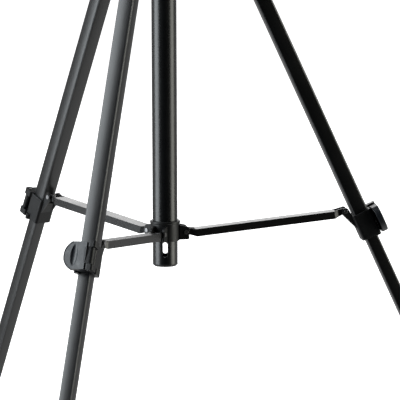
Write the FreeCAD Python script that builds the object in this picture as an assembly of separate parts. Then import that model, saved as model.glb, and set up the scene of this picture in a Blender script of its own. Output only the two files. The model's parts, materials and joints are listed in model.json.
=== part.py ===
"""Tabletop tripod easel in black aluminium tube, with moulded joints.

Units are millimetres and +Z is up. The floor is z = 0, and the origin is the
middle of the footprint. The canvas faces -Y, and the rear leg points to +Y.

Three telescoping legs hang from a yoke on the mast. A strut runs from the
flip-lever clamp of each leg to a hub that slides on the mast: sliding the hub
up folds the legs parallel to the mast.
"""
import FreeCAD
import Part
import os
from math import acos, atan2, cos, degrees, hypot, pi, radians, sin, tan

Vector = FreeCAD.Vector
Rotation = FreeCAD.Rotation
Placement = FreeCAD.Placement

# ---------------------------------------------------------------- legs
LEG_AZIMUTH = {"rear": 90.0, "front_left": 210.0, "front_right": 330.0}
leg_tilt = 24.7                 # from the vertical, legs spread
leg_reach = 676.0               # shoulder pivot to the floor, along the leg
upper_size = 15.6               # square tube, outside
upper_wall = 1.1
lower_size = 12.7
lower_wall = 1.0
tube_corner = 1.8               # outside corner radius of both square tubes
upper_start = 11.0              # shoulder pivot to the tube's top end
upper_end = 399.0
lower_start = 272.0
slide_gap = 0.3                 # between pieces that slide without a fit
fit_gap = 0.06                  # running fit of guides, pins and screws
rounding_chord = 1.5            # radius for each short cone of a turned piece's rounding

# ---------------------------------------------------------------- mast
mast_radius = 12.5
mast_wall = 1.0
mast_bottom = 213.0
mast_top = 654.0
slot_width = 5.0
slot_bottom = 223.2
slot_top = 238.2
slot_azimuth = 230.0
rod_radius = 9.5
rod_wall = 1.0
rod_overlap = 205.0             # length of the rod inside the mast
rod_showing = 215.0             # length of the rod above the mast
plug_flange = 2.2
plug_depth = 7.0
plug_floor = 2.4

# ---------------------------------------------------------------- shoulder
shoulder_radius = 37.0          # leg pivot to the mast axis
yoke_wall = 4.0
yoke_height = 30.0
jaw_radius = 6.0
jaw_thickness = 3.2
tongue_width = 9.0              # of the leg top, between the jaws
leg_pin_radius = 2.0
leg_plug_length = 16.0          # leg top inside its tube
leg_collar = 2.5
cap_height = 5.0
yoke_screw_radius = 1.9
mouth_upper = -8.0              # directions of the jaw mouth's edges, from outward
mouth_lower = -74.0

# ---------------------------------------------------------------- hub and struts
hub_joint_height = 247.2
hub_joint_radius = 20.0
hub_radius = 14.6
hub_rim = 0.6
hub_below = 8.6                 # collar below its joint
hub_above = 11.6
ear_thickness = 2.0
ear_gap = 11.0                  # between the two ears of a clevis
ear_round = 3.2
ear_below = 7.4                 # ear's foot and its blunt tip, from the joint
ear_above = 5.2
stop_rise = 1.8                 # stop pin, above the collar's foot
pin_radius = 1.5
pin_head = 2.1
head_thickness = 0.4            # of a pin's head, outside what it holds
strut_joint_along = 380.0       # shoulder pivot to strut joint, along the leg
strut_joint_inset = 14.1        # strut joint to the leg's centre line
strut_width = 14.5
strut_height = 7.6
strut_wall = 1.2
strut_drop = 2.2                # middle of the channel, below its pin line
neck_length = 7.0
neck_taper = 4.0

# ---------------------------------------------------------------- flip lock
lock_size = 20.2
lock_corner = 3.0
lock_top = 387.6                # measured along the leg
lock_bottom = 415.0
gusset_height = 14.0            # foot of the strut's clevis, below the clamp's top
lever_pin_out = 15.1            # hinge pin, outward of the leg's centre line
lever_pin_side = 7.6
barrel_radius = 3.4
lug_height = 6.0
lug_reach = 3.6                 # lug's material outside its pin
lug_overhang = 1.0              # lug above the clamp's top
lever_height = 27.0
lever_tip_side = -19.4
lever_inside = 11.2             # from the leg's centre line
lever_outside = 17.4
lever_wall = 2.2
scoop_side = -9.0
scoop_length = 20.0
scoop_depth = 1.5
shoe_width = 8.0
shoe_height = 9.0
boss_size = 2.6                 # screw bosses at the clamp's foot

# ---------------------------------------------------------------- feet
foot_radius = 9.6
foot_length = 27.0
groove_depth = 0.9
groove_width = 1.6

# ---------------------------------------------------------------- canvas rests
rest_along = 98.0
rest_sleeve = 21.0
rest_sleeve_height = 22.0
boss_radius = 5.5
boss_reach = 18.5               # boss axis to the leg's centre line
arm_length = 46.0
arm_width = 10.0
arm_thickness = 5.0
arm_lip = 14.0
arm_screw_radius = 2.0
pad_thickness = 1.6
boss_half = 8.0                 # half of the boss's height
thread_depth = 4.0              # of the arm's screw, below the boss's middle

# ---------------------------------------------------------------- mast lock and head
lock_collar_radius = 17.0
lock_collar_height = 34.0
knob_radius = 12.0
knob_height = 11.0
knob_lobes = 6
screw_radius = 2.5
screw_rise = 5.5                # clamp screw, above the mast's top
screw_boss = 12.5               # boss's outer end, from the rod's surface
head_radius = 13.0
head_height = 26.0
hook_reach = 34.0
hook_width = 24.0
hook_thickness = 4.0
hook_lip = 16.0
hook_pin_out = 18.0             # hook pin, forward of the rod's axis
hook_eye = 3.4                  # half-height of the hook's eye
hook_eye_half = 5.0             # half-width of the eye, between the cheeks
hook_pin_drop = 10.0            # hook pin, below the head's top
head_cover = 18.0               # length of the rod inside the head
cheek_thickness = 3.4

# ---------------------------------------------------------------- worked out
foot_reach = shoulder_radius + leg_reach * sin(radians(leg_tilt))
mast_y = -foot_reach / 4.0      # puts the origin in the middle of the footprint
shoulder_height = leg_reach * cos(radians(leg_tilt))
rod_bottom = mast_top - rod_overlap
rod_top = mast_top + rod_showing
ear_outside = ear_gap / 2 + ear_thickness
lug_side = lever_pin_side - barrel_radius
lever_top = (lock_top + lock_bottom - lever_height) / 2
lug_top = lock_top - lug_overhang
shoe_low = 3.5 - lock_bottom
lock_collar_low = mast_top - 18.0
mast_frame = Placement(Vector(0, mast_y, 0), Rotation())


def radial_frame(azimuth, radius, height, rise):
    """Frame with X outward and `rise` degrees up, Y sideways, Z up."""
    turn = Rotation(Vector(0, 0, 1), azimuth).multiply(Rotation(Vector(0, 1, 0), -rise))
    spot = Vector(radius * cos(radians(azimuth)), radius * sin(radians(azimuth)), height)
    return mast_frame.multiply(Placement(spot, turn))


def leg_frame(azimuth):
    """At the shoulder pivot: X outward, Y sideways, Z up along the leg."""
    return radial_frame(azimuth, shoulder_radius, shoulder_height, leg_tilt)


def strut_ends():
    """Radius and height of the strut's outer joint, its length and its rise."""
    tilt = radians(leg_tilt)
    radius = shoulder_radius + strut_joint_along * sin(tilt) - strut_joint_inset * cos(tilt)
    height = shoulder_height - strut_joint_along * cos(tilt) - strut_joint_inset * sin(tilt)
    run = radius - hub_joint_radius
    climb = height - hub_joint_height
    return radius, height, hypot(run, climb), degrees(atan2(climb, run))


def fold():
    """Hub travel, and the turns of strut and leg, that fold the legs parallel to the mast."""
    length, rise = strut_ends()[2:]
    run = shoulder_radius - strut_joint_inset - hub_joint_radius
    hang = degrees(acos(run / length))
    joint_height = shoulder_height - strut_joint_along
    travel = joint_height + length * sin(radians(hang)) - hub_joint_height
    return travel, rise + hang, leg_tilt - (rise + hang)


strut_length = strut_ends()[2]
strut_rise = strut_ends()[3]


# ---------------------------------------------------------------- drawing helpers
def outline(corners, plane, chord=0):
    """Closed wire through (u, v, radius) corners, each rounded by its own radius.

    With `chord`, a rounding is drawn as straight lines, one for each `chord` of its radius.
    """
    lift = {"XY": lambda u, v: Vector(u, v, 0), "XZ": lambda u, v: Vector(u, 0, v),
            "YZ": lambda u, v: Vector(0, u, v)}[plane]
    marks = []
    for index, (u, v, radius) in enumerate(corners):
        here = lift(u, v)
        before = lift(*corners[index - 1][:2]) - here
        after = lift(*corners[(index + 1) % len(corners)][:2]) - here
        before.normalize()
        after.normalize()
        if radius == 0:
            marks.append((here, None, here, 0))
            continue
        half = before.getAngle(after) / 2
        middle = before + after
        middle.normalize()
        reach = radius / tan(half)
        crown = here + middle * (radius / sin(half) - radius)
        marks.append((here + before * reach, crown, here + after * reach, radius))
    edges = []
    for index, (start, crown, end, radius) in enumerate(marks):
        if crown is not None:
            arc = Part.Arc(start, crown, end).toShape()
            count = max(1, round(radius / chord)) if chord else 0
            spots = arc.discretize(Number=count + 1) if count else []
            edges += [Part.makeLine(*pair) for pair in zip(spots, spots[1:])] or [arc]
        following = marks[(index + 1) % len(marks)][0]
        if (following - end).Length > 1e-6:
            edges.append(Part.LineSegment(end, following).toShape())
    return Part.Wire(edges)


def plate(corners, plane, start, thickness):
    """Solid of a rounded outline, from `start` along the plane's normal."""
    normal = {"XY": Vector(0, 0, 1), "XZ": Vector(0, 1, 0), "YZ": Vector(1, 0, 0)}[plane]
    face = Part.Face(outline(corners, plane))
    face.translate(normal * start)
    return face.extrude(normal * thickness)


def rectangle(u0, u1, v0, v1, radius):
    return [(u0, v0, radius), (u1, v0, radius), (u1, v1, radius), (u0, v1, radius)]


def square_bar(size, corner, low, high):
    return plate(rectangle(-size / 2, size / 2, -size / 2, size / 2, corner), "XY", low, high - low)


def square_tube(size, wall, corner, low, high):
    inside = square_bar(size - 2 * wall, max(corner - wall, 0.4), low - 1, high + 1)
    return square_bar(size, corner, low, high).cut(inside)


def rod_along(axis, centre, radius, length):
    """Cylinder of this length, centred on a point."""
    direction = Vector(*axis)
    direction.normalize()
    return Part.makeCylinder(radius, length, Vector(*centre) - direction * (length / 2), direction)


def round_bar(radius, low, high):
    return Part.makeCylinder(radius, high - low, Vector(0, 0, low))


def turned(profile):
    """Solid turned about Z from (radius, height, rounding) corners."""
    face = Part.Face(outline(profile, "XZ", rounding_chord))
    return face.revolve(Vector(0, 0, 0), Vector(0, 0, 1), 360)


def side_pin(centre_out, centre_up, radius, length, head):
    """Pin along Y with a thin round head on each end, outside `length`."""
    shank = rod_along((0, 1, 0), (centre_out, 0, centre_up), radius, length)
    heads = [rod_along((0, 1, 0), (centre_out, side * (length / 2 + 0.4), centre_up), head, 0.8)
             for side in (-1, 1)]
    return shank.fuse(heads).removeSplitter()


# ---------------------------------------------------------------- mast
def mast_tube():
    tube = round_bar(mast_radius, mast_bottom + plug_flange, mast_top)
    tube = tube.cut(round_bar(mast_radius - mast_wall, mast_bottom, mast_top + 1))
    half = slot_width / 2
    slot = plate(rectangle(-half, half, slot_bottom, slot_top, half * 0.98), "YZ",
                 -2 * mast_radius, 4 * mast_radius)
    slot.rotate(Vector(0, 0, 0), Vector(0, 0, 1), slot_azimuth)
    tube = tube.cut(slot)
    return tube.cut(hub_stop_pin())


def mast_end_plug():
    top = mast_bottom + plug_depth
    bore = mast_radius - mast_wall - fit_gap
    floor = mast_bottom + plug_floor
    return turned([(0, mast_bottom, 0), (mast_radius, mast_bottom, 1.6),
                   (mast_radius, mast_bottom + plug_flange, 0), (bore, mast_bottom + plug_flange, 0),
                   (bore, top, 0.6), (bore - 2, top, 0), (bore - 2, floor, 0), (0, floor, 0)])


def hub_stop_pin():
    """Cross pin that the hub rests on when the legs are spread."""
    pin = rod_along((1, 0, 0), (0, 0, hub_joint_height - hub_below + stop_rise), pin_radius,
                    2 * (mast_radius + 0.9))
    pin.rotate(Vector(0, 0, 0), Vector(0, 0, 1), slot_azimuth + 90)
    return pin


# ---------------------------------------------------------------- shoulder
def jaw_pair():
    """Two hooked jaws that the leg's pin seats in; the mouth opens out and down."""
    inner = tongue_width / 2 + slide_gap
    reach = shoulder_radius
    low = shoulder_height - jaw_radius
    shape = [(mast_radius + 1.5, shoulder_height + yoke_height * 0.36, 0),
             (reach + jaw_radius, shoulder_height + jaw_radius, jaw_radius * 0.9),
             (reach + jaw_radius, low, jaw_radius * 0.7),
             (reach - jaw_radius * 1.6, low - 1, 3),
             (mast_radius + 1.5, shoulder_height - yoke_height * 0.42, 0)]
    jaws = [plate(shape, "XZ", side, jaw_thickness) for side in (inner, -inner - jaw_thickness)]
    seat = rod_along((0, 1, 0), (reach, 0, shoulder_height), leg_pin_radius + slide_gap, 60)
    far = 3 * jaw_radius
    gap = leg_pin_radius + slide_gap
    upper = radians(mouth_upper)
    lower = radians(mouth_lower)
    mouth = plate([(reach + gap * sin(lower), shoulder_height - gap * cos(lower), 0),
                   (reach - gap * sin(upper), shoulder_height + gap * cos(upper), 0),
                   (reach - gap * sin(upper) + far * cos(upper),
                    shoulder_height + gap * cos(upper) + far * sin(upper), 0),
                   (reach + gap * sin(lower) + far * cos(lower),
                    shoulder_height - gap * cos(lower) + far * sin(lower), 0)],
                  "XZ", -30, 60)
    return [jaw.cut([seat, mouth]) for jaw in jaws]


def shoulder_yoke():
    low = shoulder_height - yoke_height / 2
    high = shoulder_height + yoke_height / 2
    bore = mast_radius + fit_gap
    out = mast_radius + yoke_wall
    yoke = turned([(bore, low, 0), (out, low, 1.5), (out, high, 1.5), (bore, high, 0)])
    for azimuth in LEG_AZIMUTH.values():
        for jaw in jaw_pair():
            jaw.rotate(Vector(0, 0, 0), Vector(0, 0, 1), azimuth)
            yoke = yoke.fuse(jaw)
    yoke = yoke.cut(round_bar(bore, low - 1, high + 1))
    return yoke.cut([screw_hole(azimuth) for azimuth in screw_azimuths()]).removeSplitter()


def screw_azimuths():
    """Midway between the legs."""
    return [azimuth + 60 for azimuth in LEG_AZIMUTH.values()]


def radial_rod(azimuth, height, start, end, radius):
    rod = Part.makeCylinder(radius, end - start, Vector(start, 0, height), Vector(1, 0, 0))
    rod.rotate(Vector(0, 0, 0), Vector(0, 0, 1), azimuth)
    return rod


def screw_hole(azimuth):
    return radial_rod(azimuth, shoulder_height, mast_radius - 2, mast_radius + 10, yoke_screw_radius)


def shoulder_screws():
    """Three screws that clamp the yoke to the mast, in one node."""
    outside = mast_radius + yoke_wall
    screws = []
    for azimuth in screw_azimuths():
        shank = radial_rod(azimuth, shoulder_height, mast_radius + fit_gap, outside + 0.5,
                           yoke_screw_radius)
        head = radial_rod(azimuth, shoulder_height, outside, outside + 1.8, yoke_screw_radius * 1.8)
        socket = radial_rod(azimuth, shoulder_height, outside + 0.9, outside + 3, yoke_screw_radius * 0.8)
        screws.append(shank.fuse(head).cut(socket))
    return Part.makeCompound(screws)


def shoulder_cap():
    """Trim ring on top of the yoke."""
    low = shoulder_height + yoke_height / 2
    bore = mast_radius + fit_gap
    return turned([(bore, low, 0), (mast_radius + yoke_wall + 1.2, low, 0.8),
                   (mast_radius + yoke_wall - 0.6, low + cap_height, 2.4), (bore, low + cap_height, 0)])


# ---------------------------------------------------------------- hub
def clevis_ears(shape, inside):
    """Two side plates of a clevis, from an XZ outline."""
    return [plate(shape, "XZ", side, ear_thickness) for side in (inside, -inside - ear_thickness)]


def hub_collar():
    low = hub_joint_height - hub_below
    high = hub_joint_height + hub_above
    bore = mast_radius + slide_gap
    collar = turned([(bore, low, 0), (hub_radius, low, 0.5), (hub_radius, high - 2.6, 0),
                     (hub_radius + hub_rim, high - 2.2, 0), (hub_radius + hub_rim, high, 0.5),
                     (bore, high, 0)])
    ear = [(mast_radius + 1, hub_joint_height - ear_below, 0),
           (hub_joint_radius + ear_round, hub_joint_height - ear_below, 1.5),
           (hub_joint_radius + ear_round, hub_joint_height + ear_above, 3.0),
           (mast_radius + 1, hub_joint_height + ear_below, 0)]
    hole = rod_along((0, 1, 0), (hub_joint_radius, 0, hub_joint_height), pin_radius, 4 * ear_outside)
    for azimuth in LEG_AZIMUTH.values():
        for piece in clevis_ears(ear, ear_gap / 2):
            piece = piece.cut(hole)
            piece.rotate(Vector(0, 0, 0), Vector(0, 0, 1), azimuth)
            collar = collar.fuse(piece)
    collar = collar.cut(round_bar(bore, low - 1, high + 1))
    notch = rod_along((1, 0, 0), (0, 0, hub_joint_height - hub_below + stop_rise), pin_radius + 0.1,
                      2 * (mast_radius + 1.2))
    below = Part.makeBox(2 * (mast_radius + 1.2), 2 * pin_radius + 0.2, 4,
                         Vector(-mast_radius - 1.2, -pin_radius - 0.1, low - 2.2))
    relief = notch.fuse(below)
    relief.rotate(Vector(0, 0, 0), Vector(0, 0, 1), slot_azimuth + 90)
    return collar.cut(relief).removeSplitter()


def hub_pins():
    """The three pins of the hub's clevises, in one node."""
    pins = []
    for azimuth in LEG_AZIMUTH.values():
        pin = side_pin(hub_joint_radius, hub_joint_height, pin_radius, 2 * ear_outside, pin_head)
        pin.rotate(Vector(0, 0, 0), Vector(0, 0, 1), azimuth)
        pins.append(pin)
    return Part.makeCompound(pins)


# ---------------------------------------------------------------- strut
def strut():
    """Pressed channel, open below, its ends necked in to fit between clevis ears."""
    length = strut_length
    top = strut_height / 2 - strut_drop
    bottom = -strut_height / 2 - strut_drop
    neck = ear_gap / 2 - slide_gap
    wide = strut_width / 2
    bend = neck_length + neck_taper
    end = ear_round
    line = [(-end, neck), (neck_length, neck), (bend, wide), (length - bend, wide),
            (length - neck_length, neck), (length + end, neck)]
    wall = [(x, y, 0) for x, y in line] + [(x, y - strut_wall, 0) for x, y in reversed(line)]
    walls = [plate([(x, side * y, r) for x, y, r in wall], "XY", bottom, strut_height + end)
             for side in (-1, 1)]
    side_view = plate([(-end, -end, end * 0.95), (-end, end, end * 0.95), (end, end, 0),
                       (bend, top, 0), (length - bend, top, 0), (length - end, end, 0),
                       (length + end, end, end * 0.95), (length + end, -end, end * 0.95),
                       (length - end, -end, 0), (length - bend, bottom, 0), (bend, bottom, 0),
                       (end, -end, 0)], "XZ", -strut_width, 2 * strut_width)
    sides = [piece.common(side_view) for piece in walls]
    web = plate(rectangle(bend - 1, length - bend + 1, -wide + 0.3, wide - 0.3, 0), "XY",
                top - strut_wall, strut_wall)
    body = sides[0].fuse([sides[1], web])
    holes = [rod_along((0, 1, 0), (x, 0, 0), pin_radius + fit_gap, 4 * wide) for x in (0, length)]
    return body.cut(holes).removeSplitter()


# ---------------------------------------------------------------- leg, upper part
def upper_leg():
    return square_tube(upper_size, upper_wall, tube_corner, -upper_end, -upper_start)


def leg_top():
    """Moulded plug in the tube's end, with the tongue that turns between the jaws."""
    bore = upper_size - 2 * upper_wall - 2 * fit_gap
    plug = square_bar(bore, 0.6, -upper_start - leg_plug_length, -upper_start)
    collar = square_bar(upper_size, tube_corner, -upper_start, -upper_start + leg_collar)
    half = upper_size / 2
    side = plate([(-half, -upper_start, 0), (half, -upper_start, 0),
                  (jaw_radius - 0.6, jaw_radius - 0.6, jaw_radius * 0.85),
                  (-jaw_radius + 0.6, jaw_radius - 0.6, jaw_radius * 0.85)], "XZ",
                 -tongue_width / 2, tongue_width)
    hole = rod_along((0, 1, 0), (0, 0, 0), leg_pin_radius, 40)
    return plug.fuse([collar, side]).cut(hole).removeSplitter()


def leg_top_pin():
    width = tongue_width + 2 * (slide_gap + jaw_thickness + head_thickness)
    return side_pin(0, 0, leg_pin_radius, width, leg_pin_radius + 1.1)


# ---------------------------------------------------------------- flip lock
def lock_body():
    """Moulded clamp: socket for the tube, hinge lugs outside, strut clevis inside.

    The clevis leans down into a gusset; a web closes it below the sweep of the strut's end.
    """
    half = lock_size / 2
    top = -lock_top
    bottom = -lock_bottom
    body = square_bar(lock_size, lock_corner, bottom, top)
    lug = [(half - 4, lug_side, 0), (lever_pin_out + lug_reach, lug_side, 2.4),
           (lever_pin_out + lug_reach, lever_pin_side + lug_reach + 1, 2.4),
           (half - 1, lever_pin_side + lug_reach + 1, 1), (half - 4, half - 2, 0)]
    lugs = [plate(lug, "XY", level, lug_height) for level in (-lug_top - lug_height, bottom)]
    bosses = [Part.makeCylinder(boss_size, 6, Vector(out, side, bottom - 1.2))
              for out, side in ((half - boss_size, boss_size - half), (half - boss_size - 3, half))]
    inset = -strut_joint_inset
    joint = -strut_joint_along
    foot_level = top - gusset_height
    gusset = [(-half + 2, foot_level - 2, 0), (-half, foot_level, 3),
              (inset - ear_round, joint - 2.5, 2), (inset - ear_round, joint + ear_round, ear_round * 0.9),
              (inset + ear_round, joint + ear_round, ear_round * 0.9), (-half + 1, top - 2, 1),
              (-half + 4, top - 2, 0)]
    web = [(-half + 2, foot_level - 2, 0), (-half, foot_level, 3), (inset + 1, joint - 9, 2),
           (-half + 2, top - 2, 0)]
    body = body.fuse(lugs + bosses + clevis_ears(gusset, ear_gap / 2)
                     + [plate(web, "XZ", -ear_gap / 2, ear_gap)])
    sweep = rod_along((0, 1, 0), (inset, 0, joint), ear_round + 2 * slide_gap, ear_gap)
    upper_bore = square_bar(upper_size + 2 * fit_gap, tube_corner, -upper_end, top + 1)
    lower_bore = square_bar(lower_size + 2 * slide_gap, tube_corner, bottom - 2, -upper_end + 1)
    window = plate(rectangle(-shoe_width / 2, shoe_width / 2, shoe_low, shoe_low + shoe_height, 0.8),
                   "YZ", 0, half + 4)
    hinge = Part.makeCylinder(pin_radius, 60, Vector(lever_pin_out, lever_pin_side, bottom - 10))
    joint_hole = rod_along((0, 1, 0), (inset, 0, joint), pin_radius, 40)
    return body.cut([sweep, upper_bore, lower_bore, window, hinge, joint_hole]).removeSplitter()


def lock_pins():
    """Hinge pin of the lever and joint pin of the strut, in one node."""
    top = -lug_top + 0.3
    bottom = -lock_bottom - 0.3
    hinge = Part.makeCylinder(pin_radius, top - bottom, Vector(lever_pin_out, lever_pin_side, bottom))
    joint = side_pin(-strut_joint_inset, -strut_joint_along, pin_radius, 2 * ear_outside, pin_head)
    return Part.makeCompound([hinge, joint])


def lock_shoe():
    """Brake pad that the lever presses against the lower tube."""
    gap = 0.1
    low = shoe_low + gap
    half = shoe_width / 2 - gap
    inner = lower_size / 2 + slide_gap
    return plate(rectangle(-half, half, low, low + shoe_height - 2 * gap, 0.7), "YZ", inner,
                 lock_size / 2 - inner + 0.5)


def lever_outline(inset):
    """Round-ended outline of the lever, seen from outside, shrunk by `inset`."""
    low = -lever_top - lever_height
    middle = low + lever_height / 2
    half = lever_height / 2 - inset
    end = lever_tip_side + inset
    root = lug_side - 2 * slide_gap - inset
    return [(root, middle - half, 1), (end + 2.4, middle - half, 7), (end - 0.8, middle, 20),
            (end + 2.4, middle + half, 7), (root, middle + half, 1)]


def lock_lever():
    """Moulded shell lever with a round thumb end and a finger scoop, on its hinge barrel."""
    crown = lever_outside + 0.9
    plan = [(lever_inside, lug_side, 0), (crown + 0.4, lug_side, 0), (crown, 0, 12),
            (lever_outside, scoop_side, 20), (lever_outside - 0.8, lever_tip_side - 0.5, 1.5),
            (lever_inside + 0.2, lever_tip_side - 0.5, 0.8)]
    middle = -lever_top - lever_height / 2
    tall = lever_height + 2
    shell = plate(plan, "XY", middle - tall / 2, tall).common(plate(lever_outline(0), "YZ", 0, 60))
    pocket = plate(lever_outline(lever_wall), "YZ", 0, lever_outside - lever_wall - 0.3)
    shell = shell.cut(pocket)
    low = -lock_bottom + lug_height + slide_gap
    high = -lug_top - lug_height - slide_gap
    pin = Vector(lever_pin_out, lever_pin_side, low)
    barrel = Part.makeCylinder(barrel_radius, high - low, pin)
    arm = plate([(lever_inside + 0.3, lug_side - 3, 0), (crown + 0.3, lug_side - 3, 0),
                 (lever_pin_out + barrel_radius, lever_pin_side + barrel_radius * 0.8, 1.6),
                 (lever_pin_out, lever_pin_side, 0)], "XY", low, high - low)
    cam = Part.makeBox(lever_outside - lever_inside, shoe_width - 1.5, shoe_height - 1.5,
                       Vector(lever_inside - 0.2, 0.75 - shoe_width / 2, shoe_low + 0.75))
    face = Part.Face(Part.Wire([
        Part.Arc(Vector(0, 0, -scoop_length / 2), Vector(4.2, 0, 0),
                 Vector(0, 0, scoop_length / 2)).toShape(),
        Part.LineSegment(Vector(0, 0, scoop_length / 2), Vector(0, 0, -scoop_length / 2)).toShape()]))
    scoop = face.revolve(Vector(0, 0, 0), Vector(0, 0, 1), 360)
    scoop.translate(Vector(lever_outside + 4.2 - scoop_depth, scoop_side, middle))
    hole = Part.makeCylinder(pin_radius + fit_gap, 60, Vector(pin.x, pin.y, low - 10))
    return shell.fuse([barrel, arm, cam]).cut([scoop, hole]).removeSplitter()


# ---------------------------------------------------------------- leg, lower part
def lower_end():
    return leg_reach - foot_length * 0.5


def lower_leg():
    return square_tube(lower_size, lower_wall, tube_corner * 0.8, -lower_end(), -lower_start)


def leg_guide():
    """Bush on the top of the lower tube, a sliding fit in the upper one."""
    outside = upper_size - 2 * upper_wall - 2 * fit_gap
    inside = lower_size - 2 * lower_wall - 2 * fit_gap
    top = -lower_start
    cap = square_bar(outside, 0.7, top, top + 7)
    spigot = square_bar(inside, 0.6, top - 12, top)
    return cap.fuse(spigot).cut(round_bar(inside / 2 - 1.8, top - 13, top + 8)).removeSplitter()


def foot(azimuth):
    """Rubber foot, turned about the leg's axis and flat where it stands."""
    top = -leg_reach + foot_length
    low = -leg_reach - 8
    boot = turned([(0, low, 0), (foot_radius, low, 6), (foot_radius, -leg_reach + 8, 3),
                   (foot_radius - 0.8, top - 3, 1), (lower_size / 2 + 1.9, top, 0.8), (0, top, 0)])
    groove = turned([(foot_radius - groove_depth, top - 9, 0), (foot_radius + 2, top - 9, 0),
                     (foot_radius + 2, top - 9 + groove_width, 0),
                     (foot_radius - groove_depth, top - 9 + groove_width, 0)])
    bore = square_bar(lower_size + 2 * fit_gap, tube_corner * 0.8, -lower_end(), top + 1)
    boot = boot.cut([groove, bore])
    boot.Placement = leg_frame(azimuth)
    floor = Part.makeBox(2000, 2000, 100, Vector(-1000, -1000, -100))
    return boot.cut(floor)


# ---------------------------------------------------------------- canvas rests
def rest_spot(azimuth):
    """Middle of the sleeve, and the axis of the swivel boss in front of it."""
    middle = leg_frame(azimuth).multVec(Vector(0, 0, -rest_along))
    return middle, middle + Vector(0, -boss_reach, 0)


def rest_bracket(azimuth):
    """Clip on a front leg with an upright boss for the arm."""
    half = rest_sleeve_height / 2
    sleeve = square_bar(rest_sleeve, 3, -rest_along - half, -rest_along + half)
    sleeve.Placement = leg_frame(azimuth)
    middle, boss_at = rest_spot(azimuth)
    boss = Part.makeCylinder(boss_radius, 2 * boss_half, boss_at - Vector(0, 0, boss_half))
    web = Part.makeBox(6, boss_reach, 12, Vector(boss_at.x - 3, boss_at.y, boss_at.z - 7))
    bore = square_bar(upper_size + 2 * fit_gap, tube_corner, -rest_along - 40, -rest_along + 40)
    bore.Placement = leg_frame(azimuth)
    thread = Part.makeCylinder(arm_screw_radius, 40, boss_at - Vector(0, 0, thread_depth))
    return sleeve.fuse([boss, web]).cut([bore, thread]).removeSplitter()


def rest_screw(azimuth):
    """Shouldered screw that the arm turns on."""
    boss_at = rest_spot(azimuth)[1]
    shank = Part.makeCylinder(arm_screw_radius, thread_depth + boss_half + slide_gap + arm_thickness,
                              boss_at - Vector(0, 0, thread_depth))
    head = Part.makeCylinder(arm_screw_radius + 2, 2.2,
                             boss_at + Vector(0, 0, boss_half + 2 * slide_gap + arm_thickness))
    neck = Part.makeCylinder(arm_screw_radius, slide_gap * 2,
                             boss_at + Vector(0, 0, boss_half + slide_gap + arm_thickness - 0.1))
    return shank.fuse([neck, head]).removeSplitter()


def rest_arm(azimuth):
    """Swivelling arm with an upturned lip; it points forward in use."""
    boss_at = rest_spot(azimuth)[1]
    low = boss_at.z + boss_half + slide_gap
    half = arm_width / 2
    arm = plate([(boss_at.x - half, boss_at.y + half, half * 0.95),
                 (boss_at.x - half, boss_at.y - arm_length, 2.5),
                 (boss_at.x + half, boss_at.y - arm_length, 2.5),
                 (boss_at.x + half, boss_at.y + half, half * 0.95)], "XY", low, arm_thickness)
    end = boss_at.y - arm_length
    lip = plate([(end, low + arm_thickness - 2, 0), (end, low + arm_thickness + arm_lip, 1.5),
                 (end + 3.4, low + arm_thickness + arm_lip, 1.5), (end + 5, low + arm_thickness, 0),
                 (end + 5, low + arm_thickness - 2, 0)], "YZ", boss_at.x - half + 0.5, arm_width - 1)
    rib = plate([(boss_at.y - 9, low + 1, 0), (end + 2, low + 1, 0), (end + 6, low - 1.2, 1),
                 (boss_at.y - 13, low - 3.2, 1)], "YZ", boss_at.x - 1.25, 2.5)
    hole = Part.makeCylinder(arm_screw_radius + fit_gap, 40, boss_at)
    return arm.fuse([lip, rib]).cut(hole).removeSplitter()


def rest_pad(azimuth):
    """Rubber strip that the canvas stands on."""
    boss_at = rest_spot(azimuth)[1]
    low = boss_at.z + boss_half + slide_gap + arm_thickness
    half = arm_width / 2 - 0.8
    return plate(rectangle(boss_at.x - half, boss_at.x + half, boss_at.y - arm_length + 6,
                           boss_at.y - 8, 1.5), "XY", low, pad_thickness)


# ---------------------------------------------------------------- mast lock
def mast_lock_body():
    low = lock_collar_low
    high = low + lock_collar_height
    wide = mast_radius + fit_gap
    narrow = rod_radius + fit_gap
    body = turned([(wide, low, 0), (lock_collar_radius - 1, low, 1.2), (lock_collar_radius, low + 8, 2),
                   (lock_collar_radius, mast_top, 3), (narrow + 3, high, 1.5), (narrow, high, 0),
                   (narrow, mast_top, 0), (wide, mast_top, 0)])
    boss = Part.makeCylinder(6.5, 12, Vector(narrow + 0.5, 0, mast_top + screw_rise), Vector(1, 0, 0))
    body = body.fuse(boss).cut(round_bar(narrow, mast_top - 0.5, high + 1))
    hole = Part.makeCylinder(screw_radius + fit_gap, 60, Vector(0, 0, mast_top + screw_rise),
                             Vector(1, 0, 0))
    return body.cut([hole, round_bar(wide, low - 1, mast_top)]).removeSplitter()


def mast_screw():
    start = rod_radius + slide_gap
    end = rod_radius + screw_boss + slide_gap + 6
    return Part.makeCylinder(screw_radius, end - start, Vector(start, 0, mast_top + screw_rise),
                             Vector(1, 0, 0))


def mast_knob():
    """Lobed hand knob on the clamp screw."""
    start = rod_radius + screw_boss + slide_gap + fit_gap
    knob = round_bar(knob_radius - 1.5, 0, knob_height)
    for lobe in range(knob_lobes):
        turn = 2 * pi * lobe / knob_lobes
        knob = knob.fuse(Part.makeCylinder(4.0, knob_height, Vector(
            (knob_radius - 3) * cos(turn), (knob_radius - 3) * sin(turn), 0)))
    limit = turned([(0, 0, 0), (knob_radius - 3, 0, 0), (knob_radius + 1.5, 4, 2),
                    (knob_radius + 1.5, knob_height, 2.2), (0, knob_height, 0)])
    knob = knob.common(limit).cut(round_bar(screw_radius, -1, 6))
    knob.Placement = Placement(Vector(start, 0, mast_top + screw_rise), Rotation(Vector(0, 1, 0), 90))
    return knob


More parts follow.
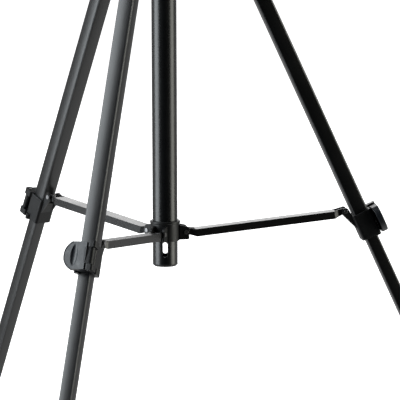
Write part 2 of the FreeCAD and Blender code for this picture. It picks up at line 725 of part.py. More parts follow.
# ---------------------------------------------------------------- rod, head and hook
def mast_rod():
    return round_bar(rod_radius, rod_bottom, rod_top).cut(
        round_bar(rod_radius - rod_wall, rod_bottom - 1, rod_top + 1))


def rod_guide():
    """Bush on the rod's foot, a sliding fit in the mast."""
    outside = mast_radius - mast_wall - fit_gap
    inside = rod_radius - rod_wall - fit_gap
    return turned([(inside - 2, rod_bottom - 7, 0), (outside, rod_bottom - 7, 0.6),
                   (outside, rod_bottom, 0.4), (inside, rod_bottom, 0), (inside, rod_bottom + 12, 0.5),
                   (inside - 2, rod_bottom + 12, 0)])


def head_block():
    """Moulded cap on the rod, with two cheeks that carry the hook."""
    low = rod_top - head_cover
    high = low + head_height
    body = turned([(0, low, 0), (head_radius, low, 1.5), (head_radius, high, 4), (0, high, 0)])
    inner = hook_eye_half + slide_gap
    cheek = [(-2, high - 18, 0), (hook_pin_out + 4.5, high - 16, 4), (hook_pin_out + 4.5, high - 4, 4.2),
             (-2, high - 3, 0)]
    cheeks = [plate(cheek, "XZ", side, cheek_thickness)
              for side in (inner, -inner - cheek_thickness)]
    body = body.fuse(cheeks)
    gap = plate(rectangle(head_radius + 0.5, hook_pin_out + 10, high - 30, high + 4, 0), "XZ", -inner,
                2 * inner)
    bore = round_bar(rod_radius + fit_gap, low - 1, rod_top)
    hole = rod_along((0, 1, 0), (hook_pin_out, 0, high - hook_pin_drop), pin_radius, 40)
    body = body.cut([gap, bore, hole]).removeSplitter()
    body.rotate(Vector(0, 0, 0), Vector(0, 0, 1), -90)
    return body


def hook_joint_height():
    return rod_top - head_cover + head_height - hook_pin_drop


def hook_pin():
    length = 2 * (hook_eye_half + slide_gap + cheek_thickness)
    pin = side_pin(hook_pin_out, hook_joint_height(), pin_radius, length, pin_head)
    pin.rotate(Vector(0, 0, 0), Vector(0, 0, 1), -90)
    return pin


def canvas_hook():
    """Hinged hook that holds the top edge of the canvas."""
    level = hook_joint_height()
    end = hook_pin_out + hook_reach
    profile = [(hook_pin_out - hook_eye, level - hook_eye, 3.2), (hook_pin_out + 8, level - hook_eye, 0),
               (hook_pin_out + 8, level - hook_thickness / 2, 0),
               (end - hook_thickness, level - hook_thickness / 2, 1),
               (end - hook_thickness, level - hook_lip, 0.8), (end, level - hook_lip, 0.8),
               (end, level + hook_thickness / 2, 2.5), (hook_pin_out + 8, level + hook_thickness / 2, 0),
               (hook_pin_out + 4, level + hook_eye, 1), (hook_pin_out - hook_eye, level + hook_eye, 3.2)]
    stem = plate(profile, "XZ", -hook_eye_half, 2 * hook_eye_half)
    bar = plate(rectangle(hook_pin_out + 12, end, -hook_width / 2, hook_width / 2, 3), "XY",
                level - hook_thickness / 2, hook_thickness)
    lip = plate(rectangle(-hook_width / 2, hook_width / 2, level - hook_lip, level, 3), "YZ",
                end - hook_thickness, hook_thickness)
    hole = rod_along((0, 1, 0), (hook_pin_out, 0, level), pin_radius + fit_gap, 40)
    hook = stem.fuse([bar, lip]).cut(hole).removeSplitter()
    hook.rotate(Vector(0, 0, 0), Vector(0, 0, 1), -90)
    return hook


def hook_pad():
    """Rubber pad inside the hook's lip."""
    level = hook_joint_height()
    end = hook_pin_out + hook_reach - hook_thickness
    half = hook_width / 2 - 2
    pad = plate(rectangle(-half, half, level - hook_lip + 1.5, level - hook_thickness / 2 - 1, 1.5), "YZ",
                end - pad_thickness, pad_thickness)
    pad.rotate(Vector(0, 0, 0), Vector(0, 0, 1), -90)
    return pad


# ---------------------------------------------------------------- assembly
def placed(shape, frame):
    moved = shape.copy()
    moved.Placement = frame.multiply(moved.Placement)
    return moved


def build():
    """Every node's solid, in the object's frame."""
    nodes = {maker.__name__: placed(maker(), mast_frame) for maker in (
        mast_tube, mast_end_plug, hub_stop_pin, shoulder_yoke, shoulder_cap, shoulder_screws,
        hub_collar, hub_pins, mast_lock_body, mast_screw, mast_knob, mast_rod, rod_guide,
        head_block, hook_pin, canvas_hook, hook_pad)}
    strut_shape = strut()
    leg_makers = (upper_leg, leg_top, leg_top_pin, lock_body, lock_pins, lock_shoe, lock_lever,
                  lower_leg, leg_guide)
    leg_shapes = {maker.__name__: maker() for maker in leg_makers}
    for name, azimuth in LEG_AZIMUTH.items():
        nodes["strut_" + name] = placed(strut_shape, radial_frame(
            azimuth, hub_joint_radius, hub_joint_height, strut_rise))
        for piece, shape in leg_shapes.items():
            nodes[piece + "_" + name] = placed(shape, leg_frame(azimuth))
        nodes["foot_" + name] = foot(azimuth)
        if name != "rear":
            for maker in (rest_bracket, rest_screw, rest_arm, rest_pad):
                nodes[maker.__name__ + "_" + name] = maker(azimuth)
    return nodes


os.makedirs("parts", exist_ok=True)
for node, solid in build().items():
    solid.exportStep("parts/" + node + ".step")
    print(node, len(solid.Solids), "solid(s)", solid.isValid(), round(solid.Volume / 1000, 2), "cm3")
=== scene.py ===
# %% [markdown]
# # A folding tabletop easel, finished in Blender
#
# The easel's solids are already modelled and packed as a fixed frame of bodies
# and joints. This lesson gives each one its finish: black anodised tube, moulded
# nylon, painted sheet, rubber and steel. It then works the three flip levers
# further, and adds grip beads to the feet. Every other shape stays as it is.

# %% Load the frame
import bpy
import bmesh
import json
from math import asin, cos, pi, radians, sin
from mathutils import Matrix, Vector
from mathutils.bvhtree import BVHTree


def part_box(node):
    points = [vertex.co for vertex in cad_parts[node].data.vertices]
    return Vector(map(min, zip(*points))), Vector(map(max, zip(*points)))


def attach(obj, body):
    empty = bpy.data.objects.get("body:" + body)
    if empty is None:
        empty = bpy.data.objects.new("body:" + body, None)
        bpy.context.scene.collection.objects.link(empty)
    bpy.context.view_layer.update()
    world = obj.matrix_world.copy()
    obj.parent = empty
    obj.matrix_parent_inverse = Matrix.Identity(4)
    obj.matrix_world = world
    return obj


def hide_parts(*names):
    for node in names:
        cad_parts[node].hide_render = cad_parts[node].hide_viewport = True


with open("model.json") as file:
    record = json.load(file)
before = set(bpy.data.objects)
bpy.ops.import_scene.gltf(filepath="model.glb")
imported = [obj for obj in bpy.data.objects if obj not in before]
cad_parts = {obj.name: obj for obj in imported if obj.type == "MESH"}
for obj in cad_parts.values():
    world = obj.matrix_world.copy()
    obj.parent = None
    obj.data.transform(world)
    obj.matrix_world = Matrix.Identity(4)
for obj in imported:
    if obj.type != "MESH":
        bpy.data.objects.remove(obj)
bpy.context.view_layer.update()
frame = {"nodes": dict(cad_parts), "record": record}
nodes = frame["nodes"]

# %% [markdown]
# ## Placing things
#
# Blender keeps data, such as a mesh, a curve or a lamp, apart from the object
# that stands in the scene. One helper makes the object and links it.

# %% Placing helper
def linked(name, data):
    """Object that puts a mesh, curve, lamp or camera into the scene."""
    piece = bpy.data.objects.new(name, data)
    bpy.context.scene.collection.objects.link(piece)
    return piece


print("placing helper ready")

# %% [markdown]
# ## Where the easel stands
#
# The mast is the easel's middle line, so the camera and the lamps are placed
# from it. A tube's box is centred on its axis, which gives the axis without any
# number being typed in. The legs' directions and tilt are the frame's own.

# %% The mast's axis and the legs' directions
LEGS = {"rear": 90.0, "front_left": 210.0, "front_right": 330.0}
LEG_TILT = radians(24.7)


def middle(node):
    """Middle of a CAD node's box."""
    low, high = (Vector(corner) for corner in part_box(node))
    return (low + high) / 2


mast_axis = Vector((middle("mast_tube").x, middle("mast_tube").y, 0))
hub_height = middle("hub_pins").z
print("mast axis at", [round(value, 4) for value in mast_axis], "hub pins at", round(hub_height, 4))

# %% [markdown]
# ## The camera
#
# A long lens from low down keeps the tubes nearly parallel, as in a catalogue
# picture. The view is built from three directions: to the right, forward and
# up. A camera looks along its own -Z, so these become the columns of its matrix.

# %% Camera
VIEW_AZIMUTH = radians(-40.0)
VIEW_ELEVATION = radians(8.21)
VIEW_ROLL = radians(-0.225)
VIEW_DISTANCE = 3.247
AIM_ABOVE_HUB = 0.0015
CAMERA_ASIDE = 0.035
CAMERA_RAISED = 0.030
FOCAL_LENGTH_MM = 292.2
SENSOR_WIDTH_MM = 36
NEAR_LIMIT = 0.1
FAR_LIMIT = 200

aim = mast_axis + Vector((0, 0, hub_height + AIM_ABOVE_HUB))
level = Vector((-sin(VIEW_AZIMUTH), cos(VIEW_AZIMUTH), 0))
right = Vector((cos(VIEW_AZIMUTH), sin(VIEW_AZIMUTH), 0))
forward = level * cos(VIEW_ELEVATION) - Vector((0, 0, sin(VIEW_ELEVATION)))
up = right.cross(forward)


def seen_from(sideways, upward, towards):
    """Point beside the aim, in metres to the right, upward and towards the camera."""
    return aim + right * sideways + up * upward - forward * towards


lens = bpy.data.cameras.new("camera")
lens.lens = FOCAL_LENGTH_MM
lens.sensor_width = SENSOR_WIDTH_MM
lens.clip_start = NEAR_LIMIT
lens.clip_end = FAR_LIMIT
camera = linked("camera", lens)
turn = Matrix((right, up, -forward)).transposed().to_4x4()
camera.matrix_world = (Matrix.Translation(seen_from(CAMERA_ASIDE, CAMERA_RAISED, VIEW_DISTANCE))
                       @ turn @ Matrix.Rotation(VIEW_ROLL, 4, "Z"))
bpy.context.scene.camera = camera
print("camera at", [round(value, 3) for value in camera.location])

# %% [markdown]
# ## A small language for node trees
#
# Shader maths reads best as ordinary expressions. `Value` wraps a socket, so
# `1 - mask` adds a Math node, and `Tree.node` makes every other node from its
# type, its settings and what goes into its sockets.

# %% Values and trees
class Value:
    """A number or colour that varies, and that works in an expression."""

    def __init__(self, tree, socket):
        self.tree = tree
        self.socket = socket

    def _math(self, operation, first, second):
        return self.tree.node("ShaderNodeMath", {"operation": operation}, {0: first, 1: second})

    def __add__(self, other):
        return self._math("ADD", self, other)

    def __sub__(self, other):
        return self._math("SUBTRACT", self, other)

    def __rsub__(self, other):
        return self._math("SUBTRACT", other, self)

    def __mul__(self, other):
        return self._math("MULTIPLY", self, other)

    __radd__ = __add__
    __rmul__ = __mul__


class Tree:
    """A node tree, built up by short calls."""

    def __init__(self, tree):
        self.tree = tree

    def put(self, socket, value):
        """Links a Value to a socket, or sets the socket to a plain value."""
        if isinstance(value, Value):
            self.tree.links.new(value.socket, socket)
        else:
            socket.default_value = value

    def node(self, kind, settings=None, inputs=None, output=0):
        """Any node: its settings first, then its sockets; gives back one of its outputs."""
        node = self.tree.nodes.new(kind)
        for key, value in (settings or {}).items():
            setattr(node, key, value)
        for key, value in (inputs or {}).items():
            self.put(node.inputs[key], value)
        return Value(self, node.outputs[output])

    def step(self, value, low, high):
        """0 below low, 1 above high, smooth between them."""
        return self.node("ShaderNodeMapRange", {"interpolation_type": "SMOOTHSTEP"},
                         {"Value": value, "From Min": low, "From Max": high})

    def dot(self, vector, direction):
        """How far a vector goes along a direction."""
        return self.node("ShaderNodeVectorMath", {"operation": "DOT_PRODUCT"},
                         {0: vector, 1: direction}, output="Value")


print("node language ready")

# %% [markdown]
# ## Studio light
#
# Satin black shows its light by reflection. A tall soft lamp on the left and a
# weaker one on the right draw a grey band down each side of a tube. The side of
# the room where the camera stands is unlit, which leaves a tube's middle black.
# The room behind and the floor are pale, so edges that turn away catch a little
# light. That room is the world's colour, worked out from the direction.

# %% Lamps and world
def soft_lamp(name, spot, width, height, power, colour):
    """Rectangular area lamp that faces the aim."""
    data = bpy.data.lights.new(name, "AREA")
    data.shape = "RECTANGLE"
    data.size = width
    data.size_y = height
    data.energy = power
    data.color = colour
    lamp = linked(name, data)
    lamp.location = spot
    lamp.rotation_euler = (aim - spot).to_track_quat("-Z", "Y").to_euler()
    return lamp


COOL = (0.90, 0.96, 1.0)
WARM = (1.0, 1.0, 0.90)
WHITE = (1, 1, 1)
lamps = [soft_lamp("left_softbox", seen_from(-2.5, 0.9, 0.8), width=2.3, height=3.8, power=150, colour=COOL),
         soft_lamp("right_softbox", seen_from(2.5, 0.2, 0.5), width=1.6, height=3.0, power=50, colour=WARM),
         soft_lamp("back_softbox", seen_from(0.0, 1.35, -3.0), width=4.0, height=0.9, power=26, colour=WHITE)]
print("lamps:", [lamp.name for lamp in lamps])

# %% [markdown]
# ### The room
#
# Each number below is a share of one unit of direction: 0 is square to it and
# 1 is straight along it. The dark side fades in between two such shares.

# %% World
ROOM_BEHIND = 0.34
ROOM_BELOW = 0.55
DARK_BEGINS = 0.15
DARK_FULL = 0.75
BELOW_FULL = 0.9

world = bpy.data.worlds.new("studio")
bpy.context.scene.world = world
world.use_nodes = True
room = Tree(world.node_tree)
way = room.node("ShaderNodeTexCoord", output="Generated")
unlit_side = room.step(room.dot(way, -level), DARK_BEGINS, DARK_FULL)
downward = room.step(room.dot(way, (0, 0, -1)), 0.0, BELOW_FULL)
backdrop = world.node_tree.nodes["Background"]
room.put(backdrop.inputs["Strength"], (1 - unlit_side) * (downward * ROOM_BELOW + ROOM_BEHIND))
room.put(backdrop.inputs["Color"], (*WHITE, 1))
bpy.context.scene.view_settings.view_transform = "Standard"
print("room strength behind:", ROOM_BEHIND, "and below:", ROOM_BEHIND + ROOM_BELOW)

# %% [markdown]
# ## What every finish shares
#
# A moulding or a drawn tube has no knife edges: each edge is broken by a small
# radius that catches a line of light. The Bevel node rounds the shading there
# without touching the shape, and each finish passes it on through its bump.
# Where that rounded normal leaves the plain one, there is an edge, and edges
# are also where the black wears thin, so the same node gives a mask for paler
# edges: partly wear, partly a painted highlight.

# %% Finishes
# Thresholds of the edge mask that paints edges paler, partly as wear and partly as a painted highlight.
WEAR_AND_HIGHLIGHT_BEGINS = 0.02
WEAR_AND_HIGHLIGHT_FULL = 0.22
EDGE_ROUNDING = 0.0005
BEVEL_SAMPLES = 4


def opaque(colour):
    """A colour as a socket takes it, whether it varies or not."""
    return colour if isinstance(colour, Value) else (*colour, 1)


class Finish(Tree):
    """A material with a Principled shader."""

    def __init__(self, name, **constants):
        self.material = bpy.data.materials.new(name)
        self.material.use_nodes = True
        super().__init__(self.material.node_tree)
        self.shader = self.tree.nodes["Principled BSDF"]
        self.show(**constants)

    def show(self, **values):
        """Sets or feeds the shader's sockets: base_color, roughness, normal and so on."""
        for name, value in values.items():
            self.put(self.shader.inputs[name.replace("_", " ").title().replace("Ior", "IOR")], value)
        return self.material

    def place(self, stretch=(1, 1, 1)):
        """The surface's own coordinates in metres, stretched."""
        spot = self.node("ShaderNodeTexCoord", output="Object")
        return self.node("ShaderNodeMapping", {}, {"Vector": spot, "Scale": stretch})

    def noise(self, spot, scale, detail=3.0, roughness=0.5):
        """Cloudy number between 0 and 1; scale is in lumps per metre."""
        return self.node("ShaderNodeTexNoise", {}, {"Vector": spot, "Scale": scale, "Detail": detail,
                                                     "Roughness": roughness})

    def blend(self, mask, first, second):
        """Colour that goes from the first to the second as the mask goes from 0 to 1."""
        return self.node("ShaderNodeMix", {"data_type": "RGBA"},
                         {0: mask, 6: opaque(first), 7: opaque(second)}, output=2)

    def rounded(self, radius):
        """The face's normal, with edges rounded by this radius."""
        return self.node("ShaderNodeBevel", {"samples": BEVEL_SAMPLES}, {"Radius": radius})

    def worn_and_highlit_edges(self, radius):
        """Mask for edges painted paler, partly wear and partly a painted highlight: 1 along edges, 0 on plain
        faces.
        """
        soft = self.rounded(radius)
        plain = self.node("ShaderNodeNewGeometry", output="Normal")
        return self.step(1 - self.dot(soft, plain), WEAR_AND_HIGHLIGHT_BEGINS, WEAR_AND_HIGHLIGHT_FULL)

    def relief(self, height, edge=EDGE_ROUNDING):
        """Normal for a height in metres, with edges rounded by a small radius."""
        soft = self.rounded(edge)
        return self.node("ShaderNodeBump", {}, {"Height": height, "Strength": 1.0, "Distance": 1.0,
                                                 "Normal": soft})


print("finish helpers ready")

# %% [markdown]
# ## Anodised tube
#
# Drawn aluminium keeps fine lines along its length, and the black dye lies over
# them. Noise that is stretched along the tube gives those lines, in the relief
# and in the roughness. A second, broad noise stands for handling marks.
#
# The leg tubes are square with slightly crowned faces, which is why light fades
# across a face. The crown is a height that falls with the square of the
# distance from the tube's centre line, so each leg needs its own coordinates.

# %% Leg coordinates
def leg_matrix(leg):
    """From the leg's coordinates (X outward, Y sideways, Z up the leg) to the frame's."""
    return (Matrix.Translation(middle("leg_top_pin_" + leg))
            @ Matrix.Rotation(radians(LEGS[leg]), 4, "Z") @ Matrix.Rotation(-LEG_TILT, 4, "Y"))


def corners_in(matrix, node):
    """Lowest and highest corner of a CAD node in a leg's coordinates."""
    spots = [matrix.inverted() @ vertex.co for vertex in nodes[node].data.vertices]
    return [Vector([pick(spot[axis] for spot in spots) for axis in range(3)]) for pick in (min, max)]


def half_width(node, leg):
    """Half the width of a leg's tube, outside."""
    low, high = corners_in(leg_matrix(leg), node)
    return (high.y - low.y) / 2


print("leg tube half width:", round(half_width("upper_leg_rear", "rear"), 5))

# %% [markdown]
# ### Lines, marks, dust and a painted corner highlight
#
# Three noises share the tube's colour. The drawn lines are the finest and run
# along the tube, handling marks are broad, and dust is a few small specks. A
# square tube's corners carry a painted highlight, paler from just inside the
# corner's round outward.

# %% Anodised finish
LINES = {"scale": 2600, "detail": 2.0}
MARKS = {"scale": 38, "detail": 4.0, "roughness": 0.6}
SPECKS = {"scale": 900, "detail": 2.0}
SPECK_RANGE = (0.62, 0.8)
LINE_STRETCH = (1, 1, 0.02)
DRAWN_DEPTH = 0.000004
TUBE_EDGE = 0.0012
LEG_CROWN = 10.5
# Shares of the half width, measured out from the tube's centre line.
CORNER_START = 1.27
CORNER_END = 1.315
# Colour of the painted highlight along a leg tube's corners.
CORNER_PAINTED_HIGHLIGHT = (0.075, 0.076, 0.078)
DYE_SPREAD = 2.2


def anodised(name, shade, roughness, leg=None, half=None):
    """Black anodised tube along the mast, or a square one of this half-width along a leg."""
    finish = Finish(name, specular_ior_level=0.6)
    spot = finish.place()
    if leg:
        matrix = leg_matrix(leg)
        spot = finish.node("ShaderNodeMapping", {"vector_type": "TEXTURE"},
                           {"Vector": spot, "Location": matrix.translation, "Rotation": matrix.to_euler()})
    lengthwise = finish.node("ShaderNodeMapping", {}, {"Vector": spot, "Scale": LINE_STRETCH})
    lines = finish.noise(lengthwise, **LINES)
    marks = finish.noise(spot, **MARKS)
    dust = finish.step(finish.noise(spot, **SPECKS), *SPECK_RANGE)
    height = lines * DRAWN_DEPTH
    light = tuple(channel * DYE_SPREAD for channel in shade)
    colour = finish.blend(marks * 0.5 + lines * 0.3 + dust * 0.3, shade, light)
    if leg:
        outward = finish.dot(spot, (1, 0, 0))
        sideways = finish.dot(spot, (0, 1, 0))
        off_axis = outward * outward + sideways * sideways
        height = height - off_axis * LEG_CROWN
        # Painted highlight: a paler line along each corner's round, varied by the handling marks.
        corner = finish.step(off_axis, (CORNER_START * half) ** 2, (CORNER_END * half) ** 2)
        colour = finish.blend(corner * (0.55 + marks * 0.6), colour, CORNER_PAINTED_HIGHLIGHT)
    return finish.show(base_color=colour,
                       roughness=marks * 0.10 + lines * 0.06 + roughness,
                       normal=finish.relief(height, TUBE_EDGE))


print("anodised finish ready")

# %% Tubes
MAST_BLACK = (0.0022, 0.0024, 0.0027)
LEG_BLACK = (0.0026, 0.0027, 0.0029)
MAST_ROUGHNESS = 0.20
ROD_ROUGHNESS = 0.18
LEG_ROUGHNESS = 0.22

finishes = {"mast_tube": anodised("mast_anodised", MAST_BLACK, MAST_ROUGHNESS),
            "rod_tube": anodised("rod_anodised", MAST_BLACK, ROD_ROUGHNESS)}
leg_finishes = {}
for leg in LEGS:
    for tube in ("upper_leg_" + leg, "lower_leg_" + leg):
        leg_finishes[tube] = anodised("anodised_" + tube, LEG_BLACK, LEG_ROUGHNESS, leg, half_width(tube, leg))
print("tube finishes:", len(finishes) + len(leg_finishes))

# %% [markdown]
# ## Moulded plastic
#
# Glass-filled nylon has a fine spark-eroded texture, and its colour is a little
# uneven where the glass comes up. Corners that hands rub go shinier, so a mask
# of broad noise lowers the roughness in patches. Edges are painted paler: partly
# wear, partly a painted highlight.

# %% Plastic finishes
GRAIN = {"scale": 2400, "detail": 3.0, "roughness": 0.6}
CLOUDS = {"scale": 60, "detail": 3.0, "roughness": 0.55}
RUBBED_PATCHES = {"scale": 95, "detail": 2.0}
RUBBED_RANGE = (0.55, 0.72)
# Paler colour and mask radius for the plastics' edges: partly wear, partly a painted highlight.
EDGE_WEAR_AND_HIGHLIGHT = (0.075, 0.078, 0.080)
WEAR_AND_HIGHLIGHT_RADIUS = 0.0006
GRAIN_DEPTH = 0.00002


def moulded(name, shade, roughness, texture=1.0, gloss=0.5):
    """Textured nylon in one colour, rubbed smoother in patches, and paler at its edges from wear and a painted
    highlight.
    """
    finish = Finish(name, specular_ior_level=gloss)
    grain = finish.noise(finish.place(), **GRAIN)
    cloud = finish.noise(finish.place(), **CLOUDS)
    rubbed = finish.step(finish.noise(finish.place(), **RUBBED_PATCHES), *RUBBED_RANGE)
    pale = tuple(channel * 1.6 + 0.001 for channel in shade)
    # Painted highlight and wear: edges go paler, varied by the clouds.
    wear_and_painted_highlight = finish.worn_and_highlit_edges(WEAR_AND_HIGHLIGHT_RADIUS) * (0.35 + cloud * 0.6)
    body = finish.blend(cloud * 0.5 + grain * 0.25, shade, pale)
    return finish.show(base_color=finish.blend(wear_and_painted_highlight, body, EDGE_WEAR_AND_HIGHLIGHT),
                       roughness=grain * 0.12 - rubbed * 0.12 + roughness,
                       normal=finish.relief(grain * (GRAIN_DEPTH * texture)))


finishes["black_plastic"] = moulded("black_nylon", (0.0026, 0.0028, 0.0032), 0.36, gloss=0.3)
finishes["lever_plastic"] = moulded("slate_nylon", (0.007, 0.009, 0.012), 0.30, texture=0.7)
finishes["bush_plastic"] = moulded("grey_acetal", (0.060, 0.060, 0.060), 0.45, texture=0.5)
print("finishes with the plastics:", len(finishes))

# %% [markdown]
# ## Pressed struts, rubber and steel
#
# The struts are pressed from painted sheet, so their paint has a slight orange
# peel instead of drawn lines. Rubber is matt, with dust caught in its pores.
# The pins are plated steel with a turned look.

# %% Strut, rubber and steel finishes
PEEL_DEPTH = 0.00002
PORE_DEPTH = 0.00006
DUST_RANGE = (0.5, 0.85)
RUBBER_ROUGHNESS = 0.68
TURNING_DEPTH = 0.000004
STEEL_ROUGHNESS = 0.22
PIN_EDGE = 0.0002


def painted_sheet(name, shade, roughness):
    """Painted sheet metal with a slight orange peel."""
    finish = Finish(name, specular_ior_level=0.5)
    peel = finish.noise(finish.place(), scale=700, detail=2.0)
    cloud = finish.noise(finish.place(), scale=45, detail=3.0)
    light = tuple(channel * 1.5 for channel in shade)
    return finish.show(base_color=finish.blend(cloud, shade, light),
                       roughness=cloud * 0.12 + roughness, normal=finish.relief(peel * PEEL_DEPTH))


def rubber(name, shade):
    """Matt rubber with dust in its pores."""
    finish = Finish(name, specular_ior_level=0.35)
    pores = finish.noise(finish.place(), scale=1500, detail=4.0, roughness=0.65)
    dust = finish.step(finish.noise(finish.place(), scale=130, detail=4.0), *DUST_RANGE)
    dusty = tuple(channel * 2.2 + 0.01 for channel in shade)
    return finish.show(base_color=finish.blend(dust * 0.6 + pores * 0.2, shade, dusty),
                       roughness=pores * 0.2 + RUBBER_ROUGHNESS,
                       normal=finish.relief(pores * PORE_DEPTH))


def plated_steel(name, shade):
    """Plated steel with fine turning marks."""
    finish = Finish(name, metallic=1.0)
    turned = finish.noise(finish.place(stretch=(1, 1, 3)), scale=1800, detail=2.0)
    cloud = finish.noise(finish.place(), scale=150, detail=3.0)
    dull = tuple(channel * 0.7 for channel in shade)
    return finish.show(base_color=finish.blend(cloud, shade, dull),
                       roughness=turned * 0.15 + STEEL_ROUGHNESS,
                       normal=finish.relief(turned * TURNING_DEPTH, PIN_EDGE))


finishes["strut_metal"] = painted_sheet("strut_black", (0.005, 0.005, 0.005), 0.22)
finishes["rubber"] = rubber("foot_rubber", (0.012, 0.012, 0.013))
finishes["steel"] = plated_steel("pin_steel", (0.42, 0.42, 0.43))
print("finishes:", sorted(finishes))

# %% [markdown]
# ## Dressing the CAD nodes
#
# The record says which finish each node takes. The leg tubes are the exception:
# each has a material of its own, because the drawn lines follow its slope.

# %% Materials onto the nodes
slot_of = {part["node"]: part["material_slot"] for part in frame["record"]["subparts"]}
for name, shape in nodes.items():
    shape.data.materials.clear()
    shape.data.materials.append(leg_finishes.get(name) or finishes[slot_of[name]])
print("dressed nodes:", len(nodes))

# %% [markdown]
# ## The thumb levers
#
# A moulded flip lever ends in a round thumb tab with a long finger dish. The
# CAD lever has the right size and hinge, so its mesh is copied and worked
# further: one boolean keeps what lies inside a D-shaped outline, and another
# sinks the dish. Booleans need closed meshes, so doubled vertices are merged
# first. Everything is drawn in the leg's coordinates.

# %% Cutting tools
def mesh_from(name, build):
    """Mesh made by a function that fills a bmesh."""
    shape = bmesh.new()
    build(shape)
    bmesh.ops.recalc_face_normals(shape, faces=shape.faces)
    mesh = bpy.data.meshes.new(name)
    shape.to_mesh(mesh)
    shape.free()
    return mesh


def cut(piece, operation, tool):
    """Applies one boolean to a piece and throws the tool away."""
    modifier = piece.modifiers.new(operation, "BOOLEAN")
    modifier.operation = operation
    modifier.solver = "EXACT"
    modifier.object = tool
    bpy.context.view_layer.update()
    result = bpy.data.meshes.new_from_object(piece.evaluated_get(bpy.context.evaluated_depsgraph_get()))
    piece.modifiers.clear()
    piece.data = result
    bpy.data.objects.remove(tool)


print("cutting tools ready")

# %% [markdown]
# ### The D outline
#
# The D's round end is one arc over the lever's full height. The block that
# trims the lever is this outline, drawn through its whole thickness and run
# past its hinge, so that the boolean only touches the round end.

# %% Outline
TAB_BULGE = 0.0079
RIM_PULLS_BULGE = 0.3
ARC_STEPS = 28
BLOCK_MARGIN = 0.01
BLOCK_TALLER = 0.001


def tab_arc(low, high, shrink=0.0):
    """(y, z) points of the D's end, from its lower corner to its upper one."""
    half = (high.z - low.z) / 2 - shrink
    bulge = TAB_BULGE - shrink * RIM_PULLS_BULGE
    radius = (half * half + bulge * bulge) / (2 * bulge)
    spread = asin(half / radius)
    centre_y = low.y + shrink + radius
    centre_z = (low.z + high.z) / 2
    angles = [spread * (2 * step / ARC_STEPS - 1) for step in range(ARC_STEPS + 1)]
    return [(centre_y - radius * cos(angle), centre_z + radius * sin(angle)) for angle in angles]


def tab_block(shape, low, high):
    """Prism of the D outline, through the lever's whole thickness and beyond its hinge."""
    outline = [*tab_arc(low, high), (high.y + BLOCK_MARGIN, high.z + BLOCK_TALLER),
               (high.y + BLOCK_MARGIN, low.z - BLOCK_TALLER)]
    base = [shape.verts.new((low.x - BLOCK_MARGIN, y, z)) for y, z in outline]
    face = shape.faces.new(base)
    raised = bmesh.ops.extrude_face_region(shape, geom=[face])["geom"]
    bmesh.ops.translate(shape, vec=(high.x - low.x + 2 * BLOCK_MARGIN, 0, 0),
                        verts=[item for item in raised if isinstance(item, bmesh.types.BMVert)])


print("outline of", ARC_STEPS + 3, "points")

# %% [markdown]
# ### The finger dish
#
# The dish is a long ellipsoid that dips a little below the CAD lever's own
# scoop and swallows it. Its place on the face is found by dropping a ray onto
# the lever, so it follows the lever's slope.

# %% Trimming and dishing a lever
DISH_SIZE = Vector((0.0030, 0.0042, 0.0118))
DISH_FROM_TIP = 0.0110
DISH_SINK = 0.00006
DISH_SEGMENTS = 64
DISH_RINGS = 36
WELD_DISTANCE = 1e-6


def face_finder(lever, high):
    """Function that gives the height of the lever's face over a (y, z) place."""
    tree = BVHTree.FromObject(lever, bpy.context.evaluated_depsgraph_get())

    def face_height(y, z):
        return tree.ray_cast(Vector((high.x + BLOCK_MARGIN, y, z)), Vector((-1, 0, 0)))[0].x

    return face_height


def trimmed_lever(leg, matrix, low, high):
    """Copy of the CAD lever in the leg's coordinates, cut to the D outline."""
    def copy_lever(shape):
        shape.from_mesh(nodes["lock_lever_" + leg].data)
        bmesh.ops.remove_doubles(shape, verts=shape.verts, dist=WELD_DISTANCE)
        bmesh.ops.transform(shape, matrix=matrix.inverted(), verts=shape.verts)

    name = "thumb_lever_" + leg
    lever = linked(name, mesh_from(name, copy_lever))
    cut(lever, "INTERSECT", linked("block", mesh_from("block", lambda shape: tab_block(shape, low, high))))
    return lever


def sink_dish(lever, low, high, face_height):
    """Sinks the finger dish into the lever's face."""
    y = low.y + DISH_FROM_TIP
    z = (low.z + high.z) / 2
    centre = Vector((face_height(y, z) - DISH_SINK + DISH_SIZE.x, y, z))

    def dish(shape):
        bmesh.ops.create_uvsphere(shape, u_segments=DISH_SEGMENTS, v_segments=DISH_RINGS, radius=1.0)
        bmesh.ops.scale(shape, vec=DISH_SIZE, verts=shape.verts)
        bmesh.ops.translate(shape, vec=centre, verts=shape.verts)

    cut(lever, "DIFFERENCE", linked("dish", mesh_from("dish", dish)))


print("lever tools ready")

# %% [markdown]
# ### Two plastics and steady shading
#
# The knuckle round the hinge pin is moulded in the clamp's black, and the tab
# in slate. A boolean leaves long thin triangles, and plain smooth shading smears
# light across them. Weighted normals let the large flat faces decide instead.

# %% Dressing a lever
KNUCKLE_WIDTH = 0.0068
SHARP_ANGLE = radians(22)


def dress_lever(lever, leg, matrix, high):
    """Gives a lever its plastics, its shading and its place on the easel."""
    lever.data.materials.clear()
    lever.data.materials.append(finishes["lever_plastic"])
    lever.data.materials.append(finishes["black_plastic"])
    knuckle = high.y - KNUCKLE_WIDTH
    for face in lever.data.polygons:
        face.material_index = 1 if face.center.y > knuckle else 0
    lever.data.transform(matrix)
    lever.data.shade_smooth()
    lever.data.set_sharp_from_angle(angle=SHARP_ANGLE)
    steady = lever.modifiers.new("steady normals", "WEIGHTED_NORMAL")
    steady.keep_sharp = True
    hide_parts("lock_lever_" + leg)
    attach(lever, "lever_" + leg)


print("lever dressing ready")

# %% [markdown]
# ### Beads
#
# A bead is a curve with a round section. The same helper makes the raised rim
# along a lever's tab and the closed rings round a foot.

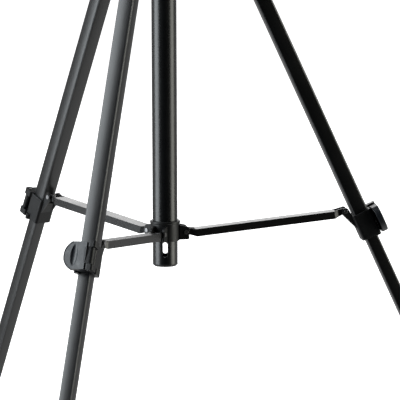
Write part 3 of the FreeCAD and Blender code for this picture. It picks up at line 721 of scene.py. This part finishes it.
# %% Bead helper
def round_bead(name, path, radius, resolution, finish, closed=False):
    """Bead of round section along a path of points."""
    curve = bpy.data.curves.new(name, "CURVE")
    curve.dimensions = "3D"
    curve.bevel_depth = radius
    curve.bevel_resolution = resolution
    curve.use_fill_caps = not closed
    line = curve.splines.new("POLY")
    line.points.add(len(path) - 1)
    line.use_cyclic_u = closed
    for point, spot in zip(line.points, path):
        point.co = (*spot, 1)
    curve.materials.append(finishes[finish])
    return linked(name, curve)


print("bead helper ready")

# %% [markdown]
# ### All three levers
#
# The rim follows the D's arc a little way in from its edge, and lies on the
# finished face.

# %% Thumb levers
RIM_RADIUS = 0.00045
RIM_INSET = 0.0008


def thumb_lever(leg):
    """Worked lever and its rim bead for one leg."""
    matrix = leg_matrix(leg)
    low, high = corners_in(matrix, "lock_lever_" + leg)
    lever = trimmed_lever(leg, matrix, low, high)
    face_height = face_finder(lever, high)
    sink_dish(lever, low, high, face_height)
    dress_lever(lever, leg, matrix, high)
    path = [matrix @ Vector((face_height(y, z), y, z)) for y, z in tab_arc(low, high, RIM_INSET)]
    rim = round_bead("lever_rim_" + leg, path, RIM_RADIUS, 3, "lever_plastic")
    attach(rim, "lever_" + leg)
    return lever, rim


for leg in LEGS:
    lever, rim = thumb_lever(leg)
    print(lever.name, len(lever.data.polygons), "faces;", rim.name, len(rim.data.splines[0].points), "points")

# %% [markdown]
# ## Grip beads on the feet
#
# A rubber boot is moulded with a few raised beads that give it grip and let it
# be pulled on. Each bead is a circle round the leg's line with a round section,
# set partly into the boot.

# %% Foot beads
FOOT_BEAD_RADIUS = 0.0006
BEAD_SUNK = 0.4
BEAD_START = 0.0108
BEAD_PITCH = 0.0028
BEADS_PER_FOOT = 3
RING_STEPS = 48


def foot_bead(leg, number):
    """One ring round a foot; number 0 is the highest."""
    matrix = leg_matrix(leg)
    low, high = corners_in(matrix, "foot_" + leg)
    radius = (high.y - low.y) / 2 - FOOT_BEAD_RADIUS * BEAD_SUNK
    level = high.z - BEAD_START - number * BEAD_PITCH
    angles = [2 * pi * step / RING_STEPS for step in range(RING_STEPS)]
    ring = [matrix @ Vector((radius * cos(angle), radius * sin(angle), level)) for angle in angles]
    name = "foot_bead_" + leg + "_" + str(number + 1)
    bead = round_bead(name, ring, FOOT_BEAD_RADIUS, 2, "rubber", closed=True)
    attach(bead, "shin_" + leg)
    return bead


beads = [foot_bead(leg, number) for leg in LEGS for number in range(BEADS_PER_FOOT)]
print("foot beads:", len(beads))

# %% [markdown]
# ## The floor
#
# A plain pale sweep keeps the easel's outline clear all round.

# %% Floor
FLOOR_REACH = 60.0
CORNER_SIGNS = ((-1, -1), (1, -1), (1, 1), (-1, 1))

sheet = bpy.data.meshes.new("floor")
sheet.from_pydata([(x * FLOOR_REACH, y * FLOOR_REACH, 0) for x, y in CORNER_SIGNS], [], [(0, 1, 2, 3)])
floor = linked("floor", sheet)
pale = Finish("pale_floor", base_color=(0.9, 0.9, 0.9, 1), roughness=0.9, emission_color=(1, 1, 1, 1),
              emission_strength=1.0)
sheet.materials.append(pale.material)
floor.visible_glossy = False
floor.visible_diffuse = False
floor.visible_shadow = False
print("floor laid,", 2 * FLOOR_REACH, "m a side")

# %% Finish
print("scene ready")
